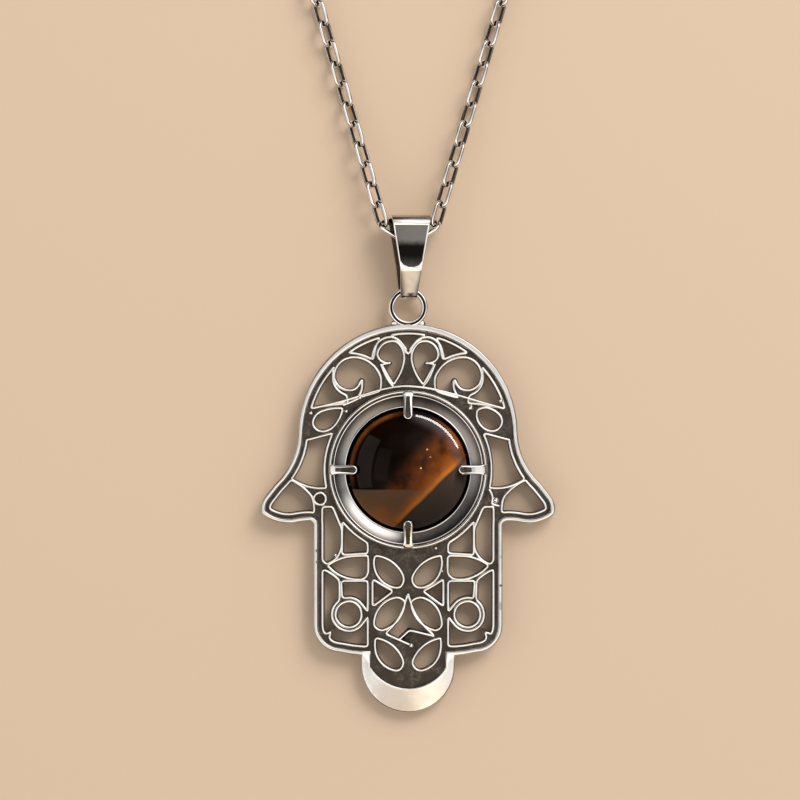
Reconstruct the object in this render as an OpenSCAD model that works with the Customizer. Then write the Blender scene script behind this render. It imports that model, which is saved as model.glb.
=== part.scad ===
// Openwork hand pendant with a round cabochon, a tapered bail and an oval cable chain.
// It lies on its flat back. The origin is on that back, straight under the middle of the stone.
// +Y runs up the hand to the chain, +Z points out of the face.

/* [Hand] */
// Width over the two thumb tips
hand_w = 35; // [28:0.5:50]
// Width of the palm below the thumbs
palm_w = 22.4; // [20:0.2:30]
// Radius of the rounded top
top_r = 13; // [11.5:0.25:18]
// Height of the top curve's centre above the stone's centre
top_rise = 4.3; // [3:0.1:7]
// Drop from the stone's centre to the thumb tips
thumb_drop = 4.6; // [3.5:0.1:7]
// Drop from the stone's centre to the end of the palm
palm_drop = 22; // [18:0.5:32]
// Radius of the rounded tongue under the palm
tongue_r = 5.6; // [4:0.1:8]
// Drop from the end of the palm to the tongue's centre
tongue_drop = 1.2; // [0.5:0.1:2.5]
// Height of the polished crescent at the foot of the tongue
crescent_h = 3; // [1.5:0.1:4]
// Thickness of the pierced plate
plate_t = 1.2; // [0.8:0.05:2]

/* [Rim and wires] */
// Width of the polished rim
rim_w = 0.6; // [0.4:0.05:1]
// Extra width of the rim at the crown of the hand
crown_extra = 0.25; // [0:0.05:0.5]
// Height of the rim above the back
rim_h = 1.8; // [1.5:0.05:2.6]
// Width of the raised wire round each opening
wire_w = 0.36; // [0.25:0.01:0.5]
// Height of the raised wires above the back
wire_h = 1.5; // [1.3:0.05:2.2]
// Width of the dark channel between the rim and the wires
channel_w = 0.36; // [0.2:0.02:0.6]

/* [Stone and setting] */
// Diameter of the cabochon
stone_d = 14; // [10:0.5:16]
// Height of the stone's straight girdle
girdle_h = 1; // [0.5:0.1:2]
// Height of the dome above the girdle
dome_h = 3.4; // [2:0.1:5]
// Thickness of the closed back under the stone
back_t = 0.8; // [0.5:0.05:1.1]
// Clearance between the stone and the metal
stone_fit = 0.05; // [0.03:0.01:0.2]
// Width of the open moat round the girdle
moat_w = 0.45; // [0.2:0.05:0.8]
// Width of the setting ring
ring_w = 1.95; // [1.2:0.05:3]
// Height of the setting ring above the back
ring_h = 2.4; // [2:0.05:3.5]
// Height of the ring's inner lip above the back
lip_h = 1.8; // [1.3:0.05:1.9]
// Width of a prong
prong_w = 0.95; // [0.6:0.05:1.4]
// Thickness of a prong over the stone
prong_t = 0.6; // [0.4:0.05:0.9]
// Reach of a prong over the stone's edge
prong_reach = 1.05; // [0.6:0.05:1.6]

/* [Top ring] */
// Outer diameter of the soldered top ring
top_ring_d = 4.8; // [4:0.1:7]
// Thickness of its wire
top_ring_wire = 0.62; // [0.4:0.02:0.9]
// Depth to which the top ring sinks into the rim
top_ring_sink = 0.5; // [0.3:0.05:0.6]

/* [Bail] */
// Length of the bail
bail_l = 10; // [8:0.25:14]
// Width of the bail at its rounded top
bail_top_w = 4.7; // [3.5:0.1:7]
// Width of the bail at the knee of its face
bail_knee_w = 2.6; // [2:0.1:4]
// Width of the bail at its tip
bail_tip_w = 1.85; // [1.2:0.05:2.4]
// Length from the tip to the knee
bail_knee_l = 3.8; // [2.5:0.1:5]
// Drop of the face from the top to the knee
bail_knee_drop = 0.3; // [0:0.05:0.8]
// Thickness of the bail's sheet
bail_t = 0.4; // [0.3:0.05:0.7]
// Roll of the lying bail about its own length
bail_roll = 9; // [0:0.5:14]
// Clearance between the chain and the inside of the bail
bail_room = 0.35; // [0.15:0.05:1]
// Clearance between the top ring and the inside of the tip
bail_fit = 0.16; // [0.1:0.02:0.3]
// Play of the bail's closed tip inside the top ring
bail_play = 0.28; // [0.2:0.01:0.4]

/* [Chain] */
// Length of the whole loop, clasp included
chain_len = 450; // [380:10:600]
// Outer length of a link
link_l = 3.55; // [3:0.05:5]
// Outer width of a link
link_w = 2; // [1.8:0.05:2.6]
// Thickness of a link's wire
link_wire = 0.46; // [0.35:0.01:0.6]
// Clearance between two hooked links
link_gap = 0.14; // [0.12:0.01:0.25]
// Slack by which the links at the bend sit closer
bend_slack = 0.23; // [0.16:0.01:0.3]
// Slope of each leg of the chain away from the middle line
leg_angle = 16.5; // [12:0.5:24]
// Slope of the first link on each side of the middle one
bend_angle = 30; // [28:1:36]

/* [Clasp] */
// Length of the clasp between its two eyes
clasp_l = 7; // [5:0.5:12]
// Width of the clasp's body
clasp_w = 3.4; // [2.6:0.1:5]
// Thickness of the wire of its two eyes
eye_wire = 0.55; // [0.4:0.05:0.6]

/* [Hidden] */
$fn = 48;
// Most that a drawn arc may stray from its true curve, and the sides of a small rounded corner
arc_gap = 0.02;
corner_fn = 8;
// Height by which a cutter stands clear of what it cuts
over = 1;
// Half the width below which a corner of an opening or of a channel closes up
sliver = 0.08;
// Height by which chain and bail clear the surface they lie on
ground_gap = 0.02;

// Stone and setting
stone_r = stone_d / 2;
bore_r = stone_r + moat_w;
ring_r = bore_r + ring_w;
girdle_z = back_t + stone_fit + girdle_h;
dome_r = (stone_r * stone_r + dome_h * dome_h) / (2 * dome_h);
dome_z = girdle_z + dome_h - dome_r;
// Radius of the tiny flat on the very top of the dome
dome_flat = 0.15;
window_r = ring_r + channel_w + wire_w;

// Hand
half_w = hand_w / 2;
half_palm = palm_w / 2;
flank_h = top_rise + thumb_drop;
tongue_y = -palm_drop - tongue_drop;
plate_end_r = tongue_r - 0.75 * rim_w;
plate_end_y = tongue_y - tongue_r + crescent_h + plate_end_r;

// Top ring and bail
bail_dip = bail_top_w / 2 * sin(bail_roll);
bail_lift = bail_dip + ground_gap;
tip_bore_r = top_ring_wire / 2 + bail_tip_w / 2 * sin(bail_roll) + bail_fit;
tip_r = tip_bore_r + bail_t;
top_ring_r = (top_ring_d - top_ring_wire) / 2;
top_ring_y = top_rise + top_r + top_ring_d / 2 - top_ring_sink;
top_ring_z = bail_lift + tip_r;
ring_bore_r = top_ring_r - top_ring_wire / 2;
bail_y = top_ring_y + sqrt(ring_bore_r * ring_bore_r - bail_tip_w * bail_tip_w / 4) - bail_play - bail_t;
bail_x = -tip_r * sin(bail_roll);

// One link, as the height it takes when it lies rolled over
roll = 45;
link_r = (link_w - link_wire) / 2;
link_straight = link_l - link_w;
link_pitch = link_l - 2 * link_wire - link_gap;
link_rise = link_r * sin(roll) + link_wire / 2;
bail_depth = 2 * (bail_t + bail_dip + link_rise + bail_room);
bail_mid_x = bail_x + 0.53 * bail_depth * sin(bail_roll);

// Route of the chain: the middle link lies in the bail, one link slopes up on each side, and straight
// legs run on to one wide arc that closes the loop at the clasp.
lying_z = link_rise + ground_gap;
bail_z = bail_lift + bail_t + bail_dip + link_rise + bail_room / 2;
clasp_z = link_w / 2 + ground_gap;
bend_pitch = link_pitch - bend_slack;
bend_y = bail_y + bail_l - bail_t
    - (link_rise + bail_room / 2 + (bail_top_w - bend_pitch) / 2 * sin(bend_angle)) / cos(bend_angle);
leg_x = bend_pitch * (0.5 + cos(bend_angle));
leg_y = bend_y + bend_pitch * sin(bend_angle);
side_links = round((chain_len - clasp_l - link_pitch) / link_pitch / 2);
leg_turn = (90 + leg_angle) * PI / 180;
loop_r = ((side_links - 1) * link_pitch + leg_x / sin(leg_angle) + clasp_l / 2)
    / (1 / tan(leg_angle) + leg_turn);
leg_l = loop_r / tan(leg_angle) - leg_x / sin(leg_angle);
loop_y = leg_y - leg_x / tan(leg_angle) + loop_r / sin(leg_angle);
// Links over which the chain comes down from the bail, rises to the clasp and turns upright there
settle_links = 6;

// Openings of the crown, as shares of the top curve's radius from its centre.
// Columns: across, up, bow of the stretch to the next point as a share of its length.
crown_middle = [[-0.14, 0.9, 0], [0.14, 0.9, -0.08], [0, 0.75, -0.08]];
crown_sliver = [[-0.545, 0.75, 0.1], [-0.25, 0.9, -0.08], [-0.33, 0.695, -0.06]];
scroll = [
    [-0.26, 0.72, 0.25], [-0.11, 0.815, 0.12], [-0.05, 0.68, 0.07], [-0.135, 0.475, 0],
    [-0.215, 0.615, 0], [-0.16, 0.625, -0.5], [-0.16, 0.655, 0], [-0.215, 0.66, 0.15]
];
volute = [
    [-0.655, 0.52, 0.2], [-0.51, 0.675, 0.17], [-0.262, 0.5, 0.03], [-0.268, 0.395, 0],
    [-0.425, 0.35, -0.1], [-0.398, 0.455, -0.5], [-0.447, 0.49, 0.1], [-0.495, 0.415, 0.25]
];
crown_flank = [
    [-0.95, 0.225, 0], [-0.95, 0.62, 0], [-0.67, 0.69, 0], [-0.697, 0.545, -0.2],
    [-0.573, 0.332, 0], [-0.565, 0.29, -0.03]
];
left_leaf = [
    [-0.615, 0.21, 0.08], [-0.7, 0.065, 0.1], [-0.8, 0.035, 0.2], [-0.847, 0.11, 0.14], [-0.78, 0.185, 0.06]
];
right_leaf = [
    [0.645, 0.2, 0.15], [0.745, 0.205, 0.1], [0.84, 0.13, 0.15], [0.8, 0.045, 0.12], [0.705, 0.055, 0.15]
];

// Openings of the flank, across as shares of half the hand's width, up from the thumb tips as shares
// of the height from there to the top curve's centre
flank = [
    [-0.85, 0.8, 0], [-0.5, 0.98, 0], [-0.48, 0.6, 0], [-0.5, 0.3, 0], [-0.62, 0.295, 0.1], [-0.85, 0.54, 0]
];
thumb = [
    [-0.8, 0.36, 0.06], [-0.66, 0.145, 0.08], [-0.657, -0.15, 0], [-1.05, -0.15, 0], [-1.05, 0.1, 0]
];
flank_eye = [-0.596, 0.13];
flank_eye_r = 0.5;

// Openings of the palm, across as shares of half its width, up as shares of its drop
palm_side = [
    [-0.885, -0.21, 0], [-0.81, -0.21, 0], [-0.72, -0.32, 0], [-0.72, -0.405, 0.15], [-0.86, -0.497, 0],
    [-0.885, -0.485, 0]
];
palm_corner = [[-0.675, -0.25, 0], [-0.445, -0.25, 0], [-0.445, -0.44, 0], [-0.675, -0.447, 0]];
almond = [
    [-0.82, -0.517, 0.06], [-0.61, -0.476, 0], [-0.44, -0.473, 0], [-0.44, -0.54, 0.2], [-0.5, -0.58, 0.12]
];
palm_edge = [
    [-0.95, -0.54, 0], [-0.865, -0.555, 0.03], [-0.745, -0.6, 0], [-0.742, -0.72, 0], [-0.77, -0.85, 0],
    [-0.865, -0.872, 0], [-0.95, -0.82, 0]
];
palm_square = [[-0.684, -0.609, 0], [-0.445, -0.609, 0], [-0.445, -0.76, 0], [-0.66, -0.76, 0]];
palm_foot = [[-0.76, -0.83, 0], [-0.445, -0.79, 0], [-0.445, -1, 0], [-0.7, -1, 0], [-0.81, -0.9, 0]];
upper_leaf = [
    [-0.333, -0.474, 0.13], [-0.068, -0.574, 0.15], [-0.095, -0.623, 0.03], [-0.155, -0.624, 0.16],
    [-0.338, -0.51, 0.05]
];
palm_wedge = [[-0.353, -0.608, -0.02], [-0.195, -0.655, 0], [-0.353, -0.715, 0]];
middle_leaf = [
    [-0.338, -0.835, 0.18], [-0.14, -0.698, 0.12], [-0.052, -0.714, 0.16], [-0.28, -0.855, 0.14]
];
kite = [
    [0, -0.7, -0.08], [0.215, -0.878, 0], [0.005, -0.852, 0], [-0.105, -0.905, 0], [-0.205, -0.878, -0.08]
];
foot_leaf = [
    [-0.326, -0.918, 0.13], [-0.068, -1.03, 0.2], [-0.125, -1.072, 0.16], [-0.322, -0.975, 0.05]
];
roundel = [-0.627, -0.778];
roundel_r = 1.32;

// Clasp's body, as shares of half its length and of half its width
clasp_body = [
    [-1, 0.5, 0.2], [-0.6, 1, 0], [0.6, 1, 0.2], [1, 0.5, 0],
    [1, -0.5, 0.2], [0.6, -1, 0], [-0.6, -1, 0.2], [-1, -0.5, 0]
];

// Points of the stretch from p to q, without q: straight, or an arc that bows out to the left
function stretch(p, q, bow) =
    let (
        length = norm(q - p), along = (q - p) / length, out = [-along.y, along.x],
        half = 2 * atan(2 * abs(bow)), r = bow == 0 ? 0 : length / 2 / sin(half),
        steps = bow == 0 ? 1 : ceil(half / acos(1 - min(arc_gap / r, 0.5)))
    )
    bow == 0 ? [p] : [
        for (i = [0 : steps - 1])
        let (turn = half * (2 * i / steps - 1))
        (p + q) / 2 + along * r * sin(turn) + out * sign(bow) * r * (cos(turn) - cos(half))
    ];

// Closed outline of a table's rows, across and up in the units given, from the centre given
function outline(rows, across, up, centre = [0, 0]) = [
    for (i = [0 : len(rows) - 1])
    let (a = rows[i], b = rows[(i + 1) % len(rows)])
    each stretch([a[0] * across, a[1] * up] + centre, [b[0] * across, b[1] * up] + centre, a[2])
];

// Left half of the hand from the crown down to the tongue, columns in millimetres and bow
half_hand = [
    [0, top_rise + top_r, -0.207],
    [-top_r, top_rise, 0.1],
    [-top_r - 0.62 * (half_w - top_r), -0.37 * thumb_drop, 0],
    [-half_w + 0.45, -0.72 * thumb_drop, -0.12],
    [-half_w + 0.2, -1.15 * thumb_drop, -0.12],
    [-0.45 * (half_w + half_palm), -1.35 * thumb_drop, 0.02],
    [-half_palm - 0.45, -1.33 * thumb_drop, 0.2],
    [-half_palm, -1.42 * thumb_drop, 0],
    [-half_palm, -0.84 * palm_drop, -0.2],
    [-0.72 * half_palm, -0.984 * palm_drop, -0.02],
    [-tongue_r, -palm_drop, 0],
    [-tongue_r, tongue_y, -0.207],
    [0, tongue_y - tongue_r, 0]
];

module hand_outline() {
    rows = [for (i = [0 : len(half_hand) - 2]) each stretch(
        [half_hand[i][0], half_hand[i][1]], [half_hand[i + 1][0], half_hand[i + 1][1]], half_hand[i][2])];
    for (side = [0, 1]) mirror([side, 0]) polygon(concat(rows, [[0, tongue_y - tongue_r]]));
}

// Sunk field inside the rim: a lowered curve widens the rim at the crown, and the tongue keeps its crescent
module field() {
    reach = half_w + palm_drop;
    foot_y = rim_w - palm_drop;
    intersection() {
        offset(delta = -rim_w) hand_outline();
        union() {
            translate([0, top_rise - crown_extra]) circle(r = top_r - rim_w, $fn = 72);
            translate([-reach, foot_y]) square([2 * reach, top_rise - crown_extra - foot_y]);
            intersection() {
                translate([0, plate_end_y]) circle(r = plate_end_r, $fn = 48);
                square([2 * (tongue_r - 2 * rim_w), 2 * reach], center = true);
            }
        }
    }
}

// Openings that the two halves share, drawn on the left
module half_windows() {
    crown_centre = [0, top_rise];
    thumb_level = [0, -thumb_drop];
    for (rows = [scroll, volute, crown_flank])
        polygon(outline(rows, top_r, top_r, crown_centre));
    for (rows = [flank, thumb])
        polygon(outline(rows, half_w, flank_h, thumb_level));
    for (rows = [palm_side, palm_corner, almond, upper_leaf, palm_wedge, middle_leaf, foot_leaf])
        polygon(outline(rows, half_palm, palm_drop));
    difference() {
        for (rows = [palm_edge, palm_square, palm_foot])
            polygon(outline(rows, half_palm, palm_drop));
        translate([roundel.x * half_palm, roundel.y * palm_drop])
            circle(r = roundel_r + 2 * wire_w + channel_w / 2, $fn = 24);
    }
    translate([roundel.x * half_palm, roundel.y * palm_drop]) circle(r = roundel_r, $fn = 24);
}

// Openings that only one side has, and those on the middle line
module single_windows() {
    for (rows = [left_leaf, right_leaf]) polygon(outline(rows, top_r, top_r, [0, top_rise]));
    polygon(outline(kite, half_palm, palm_drop));
    translate([flank_eye.x * half_w, flank_eye.y * flank_h - thumb_drop]) circle(r = flank_eye_r, $fn = 16);
}

// Small openings right under the crown, where the channel is at its narrowest
module crown_windows() {
    for (side = [0, 1]) mirror([side, 0]) polygon(outline(crown_sliver, top_r, top_r, [0, top_rise]));
    polygon(outline(crown_middle, top_r, top_r, [0, top_rise]));
}

// All openings, kept clear of the rim and of the setting, without slivers
module windows() {
    offset(delta = sliver) offset(delta = -sliver) difference() {
        union() {
            intersection() {
                offset(delta = -channel_w - wire_w) field();
                union() {
                    for (side = [0, 1]) mirror([side, 0]) half_windows();
                    single_windows();
                }
            }
            intersection() {
                offset(delta = -0.6 * channel_w - wire_w) field();
                crown_windows();
            }
        }
        circle(r = window_r, $fn = 72);
    }
}

// Pierced plate in one casting: openings cut through, channels sunk between wires and rim
module plate() {
    difference() {
        linear_extrude(rim_h) difference() {
            hand_outline();
            windows();
            circle(r = ring_r - wire_w, $fn = 96);
        }
        translate([0, 0, plate_t]) linear_extrude(rim_h)
            offset(r = sliver, $fn = corner_fn) offset(delta = -sliver) difference() {
                field();
                offset(r = wire_w, $fn = corner_fn) windows();
            }
        translate([0, 0, wire_h]) linear_extrude(rim_h) offset(delta = -channel_w / 2) field();
    }
}

// Bevelled ring with a closed back: bright outer edge, sloping band, and a thin lip round the moat
module setting() {
    edge = wire_w;
    rotate_extrude() polygon([
        [0, 0], [ring_r, 0], [ring_r, ring_h - edge / 2], [ring_r - edge / 2, ring_h],
        [ring_r - edge, ring_h], [ring_r - 1.2 * edge, ring_h - edge / 2],
        [bore_r + edge / 2, lip_h - edge / 2], [bore_r + edge / 2, lip_h], [bore_r, lip_h],
        [bore_r, back_t], [0, back_t]
    ]);
}

// Round cabochon with a straight girdle under a spherical dome, grown by a clearance
module cabochon(fit) {
    foot_z = girdle_z - girdle_h;
    girdle = [stone_r + fit, girdle_z];
    top = [dome_flat, girdle_z + dome_h + fit];
    bow = tan(asin(norm([stone_r, dome_h]) / 2 / dome_r) / 2) / 2;
    rotate_extrude() polygon(concat([[0, foot_z], [girdle.x, foot_z]], stretch(girdle, top, -bow),
        [top, [0, top.y]]));
}

// Claw that grows out of the setting ring and bends down onto the dome
module prong() {
    tip = stone_r - prong_reach;
    tip_z = dome_z + sqrt(dome_r * dome_r - tip * tip);
    shoulder_z = girdle_z + prong_t + 0.35 * prong_t;
    difference() {
        intersection() {
            rotate([90, 0, 90]) linear_extrude(prong_w, center = true) polygon([
                [tip, tip_z - prong_t / 2], [tip, tip_z + prong_t], [stone_r, shoulder_z + prong_t],
                [ring_r - prong_w / 2, ring_h + prong_t / 2], [ring_r, ring_h - wire_w / 2], [ring_r, back_t / 2],
                [bore_r + wire_w, back_t / 2], [stone_r, girdle_z - prong_t / 2]
            ]);
            union() {
                translate([0, tip + prong_w / 2, 0]) cylinder(r = prong_w / 2, h = tip_z + prong_t + over);
                translate([-prong_w / 2, tip + prong_w / 2, 0])
                    cube([prong_w, ring_r - tip - prong_w / 2, tip_z + prong_t + over]);
            }
        }
        cabochon(stone_fit);
        translate([0, 0, back_t / 4]) cylinder(r = bore_r, h = girdle_z - prong_t - back_t / 4);
    }
}

// Wire ring on the crown, with a foot of solder that joins it to the rim
module top_ring() {
    foot_w = 0.7 * top_ring_d;
    translate([0, top_ring_y, top_ring_z]) rotate_extrude()
        translate([top_ring_r, 0]) circle(d = top_ring_wire, $fn = 24);
    foot_y = top_rise + top_r;
    translate([0, 0, rim_h / 3]) linear_extrude(top_ring_z - rim_h / 3) difference() {
        polygon([
            [-foot_w / 2, foot_y - rim_w], [foot_w / 2, foot_y - rim_w],
            [top_ring_wire, foot_y + top_ring_wire], [-top_ring_wire, foot_y + top_ring_wire]
        ]);
        translate([0, top_ring_y]) circle(r = top_ring_r);
    }
}

module hand_casting() color("dimgray") {
    plate();
    setting();
    for (quarter = [0 : 3]) rotate([0, 0, 90 * quarter]) prong();
    top_ring();
}

module stone() color("saddlebrown") cabochon(0);

// Folded band seen from its side, as the centres of its rounded corners
module bail_band() {
    corners = [
        [tip_r, tip_r], [bail_l - tip_r, tip_r], [bail_l - tip_r, bail_depth - tip_r],
        [bail_knee_l, bail_depth - bail_knee_drop - tip_r]
    ];
    difference() {
        offset(r = tip_r, $fn = 40) polygon(corners);
        offset(r = tip_bore_r, $fn = 40) polygon(corners);
    }
}

module bail() color("silver")
    translate([bail_x, bail_y, bail_lift]) rotate([0, bail_roll, 0]) intersection() {
        rotate([90, 0, 90]) linear_extrude(bail_top_w + over, center = true) bail_band();
        translate([0, 0, -over]) linear_extrude(bail_depth + 2 * over) polygon([
            [-bail_tip_w / 2, 0], [bail_tip_w / 2, 0], [bail_knee_w / 2, bail_knee_l], [bail_top_w / 2, bail_l],
            [-bail_top_w / 2, bail_l], [-bail_knee_w / 2, bail_knee_l]
        ]);
    }

// Oval link along X, centred: two bent ends and two straight sides
module link_end(turn) {
    rotate([0, 0, turn]) translate([0, -link_straight / 2, 0]) rotate([0, 0, 180]) rotate_extrude(angle = 180)
        translate([link_r, 0]) circle(d = link_wire, $fn = 16);
}

module link_side(y) {
    translate([-link_straight / 2, y, 0]) rotate([0, 90, 0]) cylinder(d = link_wire, h = link_straight, $fn = 16);
}

module link() {
    link_end(90);
    link_end(-90);
    link_side(link_r);
    link_side(-link_r);
}

// Place on the right-hand side where link k hooks into link k + 1, k = 0 beside the middle link
function hook_xy(k) =
    k == 0 ? [bend_pitch / 2, bend_y]
    : let (s = (k - 1) * link_pitch, turn = (s - leg_l) / loop_r * 180 / PI - leg_angle)
    s < leg_l ? [leg_x + s * sin(leg_angle), leg_y + s * cos(leg_angle)]
    : [loop_r * cos(turn), loop_y + loop_r * sin(turn)];

// Height of that place: high in the bail, low on the legs, level with the clasp at the end
function hook_z(k) =
    lying_z + (bail_z - lying_z) * max(0, min(1, 1 - (k - 1) / settle_links))
    + (clasp_z - lying_z) * max(0, min(1, (k - side_links) / settle_links + 2));

function hook(k) = k < 0 ? [-hook_xy(-k - 1).x, hook_xy(-k - 1).y, hook_z(-k - 1)]
    : [hook_xy(k).x, hook_xy(k).y, hook_z(k)];

// Roll of link k: they alternate, and the last ones turn upright for the clasp
function link_roll(k) =
    let (upright = max(0, (abs(k) - side_links) / settle_links + 1), even = abs(k) % 2 == 0)
    (even ? 1 : -1) * roll + (side_links % 2 == 0 ? 1 : -1) * upright * (90 - roll);

module chain() color("silver") translate([bail_mid_x, 0, 0])
    for (k = [-side_links : side_links]) {
        from = hook(k - 1);
        to = hook(k);
        way = to - from;
        translate((from + to) / 2)
            rotate([0, 0, atan2(way.y, way.x)])
            rotate([0, -atan2(way.z, norm([way.x, way.y])), 0])
            rotate([link_roll(k), 0, 0]) link();
    }

// Plain box clasp, closed, with a round wire eye at each end that the last link hooks into
module clasp() color("silver") translate([bail_mid_x, hook(side_links).y, 0]) {
    eye_x = hook(side_links).x + link_gap / 2 - link_r;
    for (side = [-1, 1]) translate([side * eye_x, 0, clasp_z])
        rotate_extrude() translate([link_r + eye_wire / 2, 0]) circle(d = eye_wire, $fn = 16);
    translate([0, 0, ground_gap]) linear_extrude(2 * (clasp_z - ground_gap))
        polygon(outline(clasp_body, eye_x - 0.85 * link_r, clasp_w / 2));
}

hand_casting();
stone();
bail();
chain();
clasp();
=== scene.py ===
import math

import bmesh
import bpy
import numpy
from mathutils import Matrix, Vector


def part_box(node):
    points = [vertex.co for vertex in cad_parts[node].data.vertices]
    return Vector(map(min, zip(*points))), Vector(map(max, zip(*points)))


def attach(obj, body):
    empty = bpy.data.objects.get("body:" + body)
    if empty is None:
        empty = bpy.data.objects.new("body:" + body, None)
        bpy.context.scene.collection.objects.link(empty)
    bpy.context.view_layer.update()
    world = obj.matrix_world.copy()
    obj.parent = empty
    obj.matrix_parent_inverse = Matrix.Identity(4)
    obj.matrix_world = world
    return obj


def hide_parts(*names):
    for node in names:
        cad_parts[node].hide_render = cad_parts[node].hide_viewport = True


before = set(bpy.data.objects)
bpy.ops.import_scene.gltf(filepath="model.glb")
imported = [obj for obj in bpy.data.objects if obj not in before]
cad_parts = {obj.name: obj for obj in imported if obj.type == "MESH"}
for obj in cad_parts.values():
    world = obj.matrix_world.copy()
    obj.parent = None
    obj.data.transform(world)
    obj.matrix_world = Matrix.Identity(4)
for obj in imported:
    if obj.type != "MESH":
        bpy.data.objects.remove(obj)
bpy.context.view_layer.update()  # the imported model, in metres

mm = 0.001
up = Vector((0, 0, 1))
scene = bpy.context.scene


# Shader maths

def bothWays(operation):  # an operator, and its reflected form for 1 - wire
    def forward(self, other):
        return self.math(operation, self, other)

    def reflected(self, other):
        return self.math(operation, other, self)

    return forward, reflected


class Wire:  # a node's output; arithmetic on it adds Math nodes
    __add__, __radd__ = bothWays("ADD")
    __sub__, __rsub__ = bothWays("SUBTRACT")
    __mul__, __rmul__ = bothWays("MULTIPLY")
    __truediv__, __rtruediv__ = bothWays("DIVIDE")
    __pow__, __rpow__ = bothWays("POWER")

    def __init__(self, tree, socket=None):
        self.tree = tree
        self.socket = socket

    def node(self, kind, settings, sockets, output=0):
        made = self.tree.nodes.new(kind)
        for name, value in settings.items():
            setattr(made, name, value)
        for key, value in sockets.items():
            if isinstance(value, Wire):
                self.tree.links.new(value.socket, made.inputs[key])
            else:
                made.inputs[key].default_value = value
        return Wire(self.tree, made.outputs[output] if made.outputs else None)

    def math(self, operation, first, second=0.0):
        return self.node("ShaderNodeMath", {"operation": operation}, {0: first, 1: second})

    def root(self):
        return self.math("SQRT", self)

    def size(self):
        return self.math("ABSOLUTE", self)

    def most(self, other):
        return self.math("MAXIMUM", self, other)

    def step(self, low, high):  # 0 at low, 1 at high, smooth between
        settings = {"interpolation_type": "SMOOTHSTEP"}
        return self.node("ShaderNodeMapRange", settings, {"Value": self, "From Min": low, "From Max": high})

    def axis(self, name):
        return self.node("ShaderNodeSeparateXYZ", {}, {0: self}, name)

    def noise(self, scale, detail=3, stretch=None):
        place = self
        if stretch:
            place = self.node("ShaderNodeMapping", {}, {"Vector": self, "Scale": stretch})
        return self.node("ShaderNodeTexNoise", {}, {"Vector": place, "Scale": scale, "Detail": detail})

    def mix(self, low, high):  # colour from low to high as this goes from 0 to 1
        settings = {"data_type": "RGBA", "clamp_factor": True}
        return self.node("ShaderNodeMix", settings, {0: self, 6: colour(low), 7: colour(high)}, 2)

    def bump(self, strength, depth):
        return self.node("ShaderNodeBump", {}, {"Strength": strength, "Distance": depth, "Height": self})


def colour(value):
    return value if isinstance(value, Wire) else (*value, 1)


def newMaterial(name):
    material = bpy.data.materials.new(name)
    material.use_nodes = True
    material.node_tree.nodes.clear()
    start = Wire(material.node_tree)
    return material, start.node("ShaderNodeTexCoord", {}, {}, "Object")


def finishMaterial(place, sockets):
    surface = place.node("ShaderNodeBsdfPrincipled", {}, sockets)
    place.node("ShaderNodeOutputMaterial", {}, {"Surface": surface})


# Materials: pairs named edges say where a smooth step is 0 and where it is 1

silverLook = {
    "bright": (0.94, 0.93, 0.91), "cloudy": (0.80, 0.785, 0.76), "dark": (0.035, 0.03, 0.026),
    "roughness": 0.08, "cloudRoughness": 0.06, "darkRoughness": 0.3,
    "cloudScale": 420, "cloudDetail": 4, "cloudEdges": (0.35, 0.75), "cloudRise": 0.12,
    "scratchScale": 2600, "scratchDetail": 2, "scratchStretch": (1, 0.18, 1),
    "bump": 0.22, "bumpDepth": 0.006 * mm, "cloudBump": 0.6, "nickRaggedX": 0.2, "nickRaggedY": 0.4,
}


def makeSilver(name, darkEdges, tone=1.0, roughness=silverLook["roughness"], nicks=()):
    # polished silver, oxidised dark below the heights of darkEdges, and painted dark in its nicks as the
    # shade of dents that the shape lacks
    look = silverLook
    bright, cloudy = ([c * tone for c in look[key]] for key in ("bright", "cloudy"))
    material, place = newMaterial(name)
    cloud = place.noise(look["cloudScale"], look["cloudDetail"]).step(*look["cloudEdges"])
    scratch = place.noise(look["scratchScale"], look["scratchDetail"], look["scratchStretch"])
    low = 1 - (place.axis("Z") / mm + cloud * look["cloudRise"]).step(*darkEdges)
    for x, y, wide, reach in nicks:
        across, along = (place.axis("X") / mm - x).size(), (place.axis("Y") / mm - y).size()
        near = (across + cloud * look["nickRaggedX"]).step(wide, 0)
        near = near * (along + scratch * look["nickRaggedY"]).step(reach, reach / 2)
        low = low.most(near)
    rough = roughness + cloud * look["cloudRoughness"] + low * look["darkRoughness"]
    finishMaterial(place, {
        "Base Color": low.mix(cloud.mix(bright, cloudy), look["dark"]), "Metallic": 1.0, "Roughness": rough,
        "Normal": (scratch + cloud * look["cloudBump"]).bump(look["bump"], look["bumpDepth"]),
    })
    return material


blackenedLook = {
    "dark": (0.06, 0.05, 0.041), "worn": (0.20, 0.18, 0.155), "roughness": 0.33, "grainRoughness": 0.25,
    "grainScale": 3200, "grainDetail": 5, "patchScale": 650, "patchEdges": (0.4, 0.7),
    "rubbedEdges": (0.3, 0.7), "rubbedWear": 0.6, "peakEdges": (0.64, 0.74), "peakWear": 0.3,
    "bump": 0.7, "bumpDepth": 0.04 * mm,
}


def makeBlackened():
    # oxidised silver of the sunk plate, with a cast grain, worn on its peaks and in worn patches; the same
    # dark silver is painted shade inside the bail's fold, in the chain's links, in the prongs' hollows and in
    # the top ring's groove
    look = blackenedLook
    material, place = newMaterial("blackened_silver_and_painted_shade")
    grain = place.noise(look["grainScale"], look["grainDetail"])
    wearAndSheen = place.noise(look["patchScale"]).step(*look["patchEdges"]) * grain.step(*look["rubbedEdges"])
    worn = wearAndSheen * look["rubbedWear"] + grain.step(*look["peakEdges"]) * look["peakWear"]
    finishMaterial(place, {
        "Base Color": worn.mix(look["dark"], look["worn"]), "Metallic": 1.0,
        "Roughness": look["roughness"] + grain * look["grainRoughness"],
        "Normal": grain.bump(look["bump"], look["bumpDepth"]),
    })
    return material


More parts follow.
